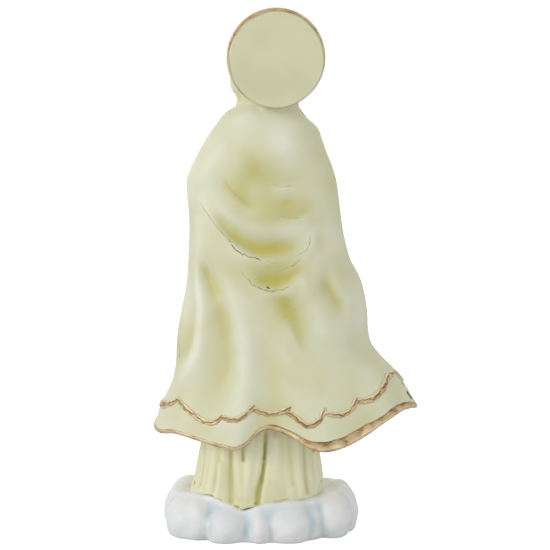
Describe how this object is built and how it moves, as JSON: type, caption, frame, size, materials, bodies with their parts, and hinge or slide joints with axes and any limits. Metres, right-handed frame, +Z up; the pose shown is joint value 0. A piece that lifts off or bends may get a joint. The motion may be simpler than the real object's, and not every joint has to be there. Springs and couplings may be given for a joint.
{
  "type": "madonna statue",
  "caption": "Standing robed figure with joined hands under a long hooded mantle, a round plate halo behind the head, on a low cloud base.",
  "frame": {"origin": "centre of the underside of the felt under the cloud base", "axes": "+Z up through the figure, the figure faces -Y and its left hand is on +X"},
  "size_m": [0.1033, 0.062, 0.2101],
  "materials": {
    "mantle_paint": "satin cream paint with an ochre wash in the folds",
    "gown_paint": "satin cream paint with an olive wash between the pleats",
    "cloud_paint": "satin white paint with pale blue between the lobes",
    "halo_paint": "satin cream paint",
    "skin_paint": "matt flesh paint",
    "hair_paint": "matt brown paint",
    "gold_paint": "brushed-on gold paint",
    "steel": "bright drawn",
    "felt": "short-pile felt"
  },
  "bodies": {
    "root": {"base_felt": "felt", "cloud_base": "cloud_paint", "support_rod": "steel", "gown_skirt": "gown_paint", "foot_left": "skin_paint", "foot_right": "skin_paint", "girdle": "gold_paint", "bodice": "gown_paint", "sleeve_left": "gown_paint", "sleeve_right": "gown_paint", "hand_left": "skin_paint", "hand_right": "skin_paint", "mantle": "mantle_paint", "head": "skin_paint", "hair": "hair_paint", "hood": "mantle_paint", "halo_plate": "halo_paint", "halo_rim": "gold_paint", "halo_peg": "steel"}
  },
  "joints": []
}
